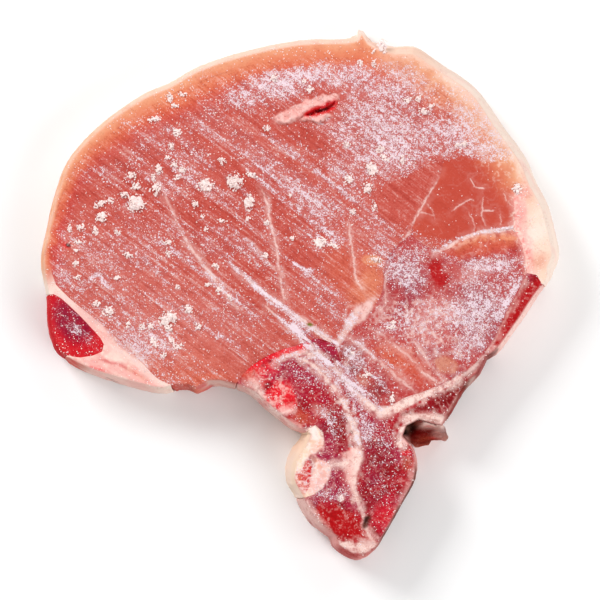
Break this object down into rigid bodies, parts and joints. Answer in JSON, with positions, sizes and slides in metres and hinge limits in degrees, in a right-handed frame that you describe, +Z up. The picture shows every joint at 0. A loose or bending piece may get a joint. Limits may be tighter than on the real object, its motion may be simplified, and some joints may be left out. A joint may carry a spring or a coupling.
{
  "type": "raw pork loin chop",
  "caption": "Raw bone-in pork loin chop, one frozen slice with its fat cap, loin eye, smaller muscles and cut vertebra, lying flat with frost on the sawn face.",
  "frame": {"origin": "middle of the bounding box, on the face that the chop rests on", "axes": "+Z up, square to the sawn faces; +Y from the tip of the vertebra towards the rind; +X towards the spine side"},
  "size_m": [0.137, 0.14, 0.018],
  "materials": {
    "back_fat": "satin, cream to peach fat",
    "loin_lean": "moist frozen lean meat",
    "lobe_lean": "moist frozen lean meat",
    "inner_lean": "frosted lean meat",
    "flank_lean": "dark moist lean meat",
    "marrow_bone": "sawn red marrow bone with pale walls",
    "cartilage": "smooth satin cartilage",
    "membrane": "moist torn membrane",
    "frost": "opaque white ice crystals"
  },
  "bodies": {
    "root": {"fat_cap": "back_fat", "loin_eye": "loin_lean", "top_lobe": "lobe_lean", "inner_muscle": "inner_lean", "flank_muscle": "flank_lean", "backbone": "marrow_bone", "disc_cartilage": "cartilage", "canal_lining": "membrane"}
  },
  "joints": []
}
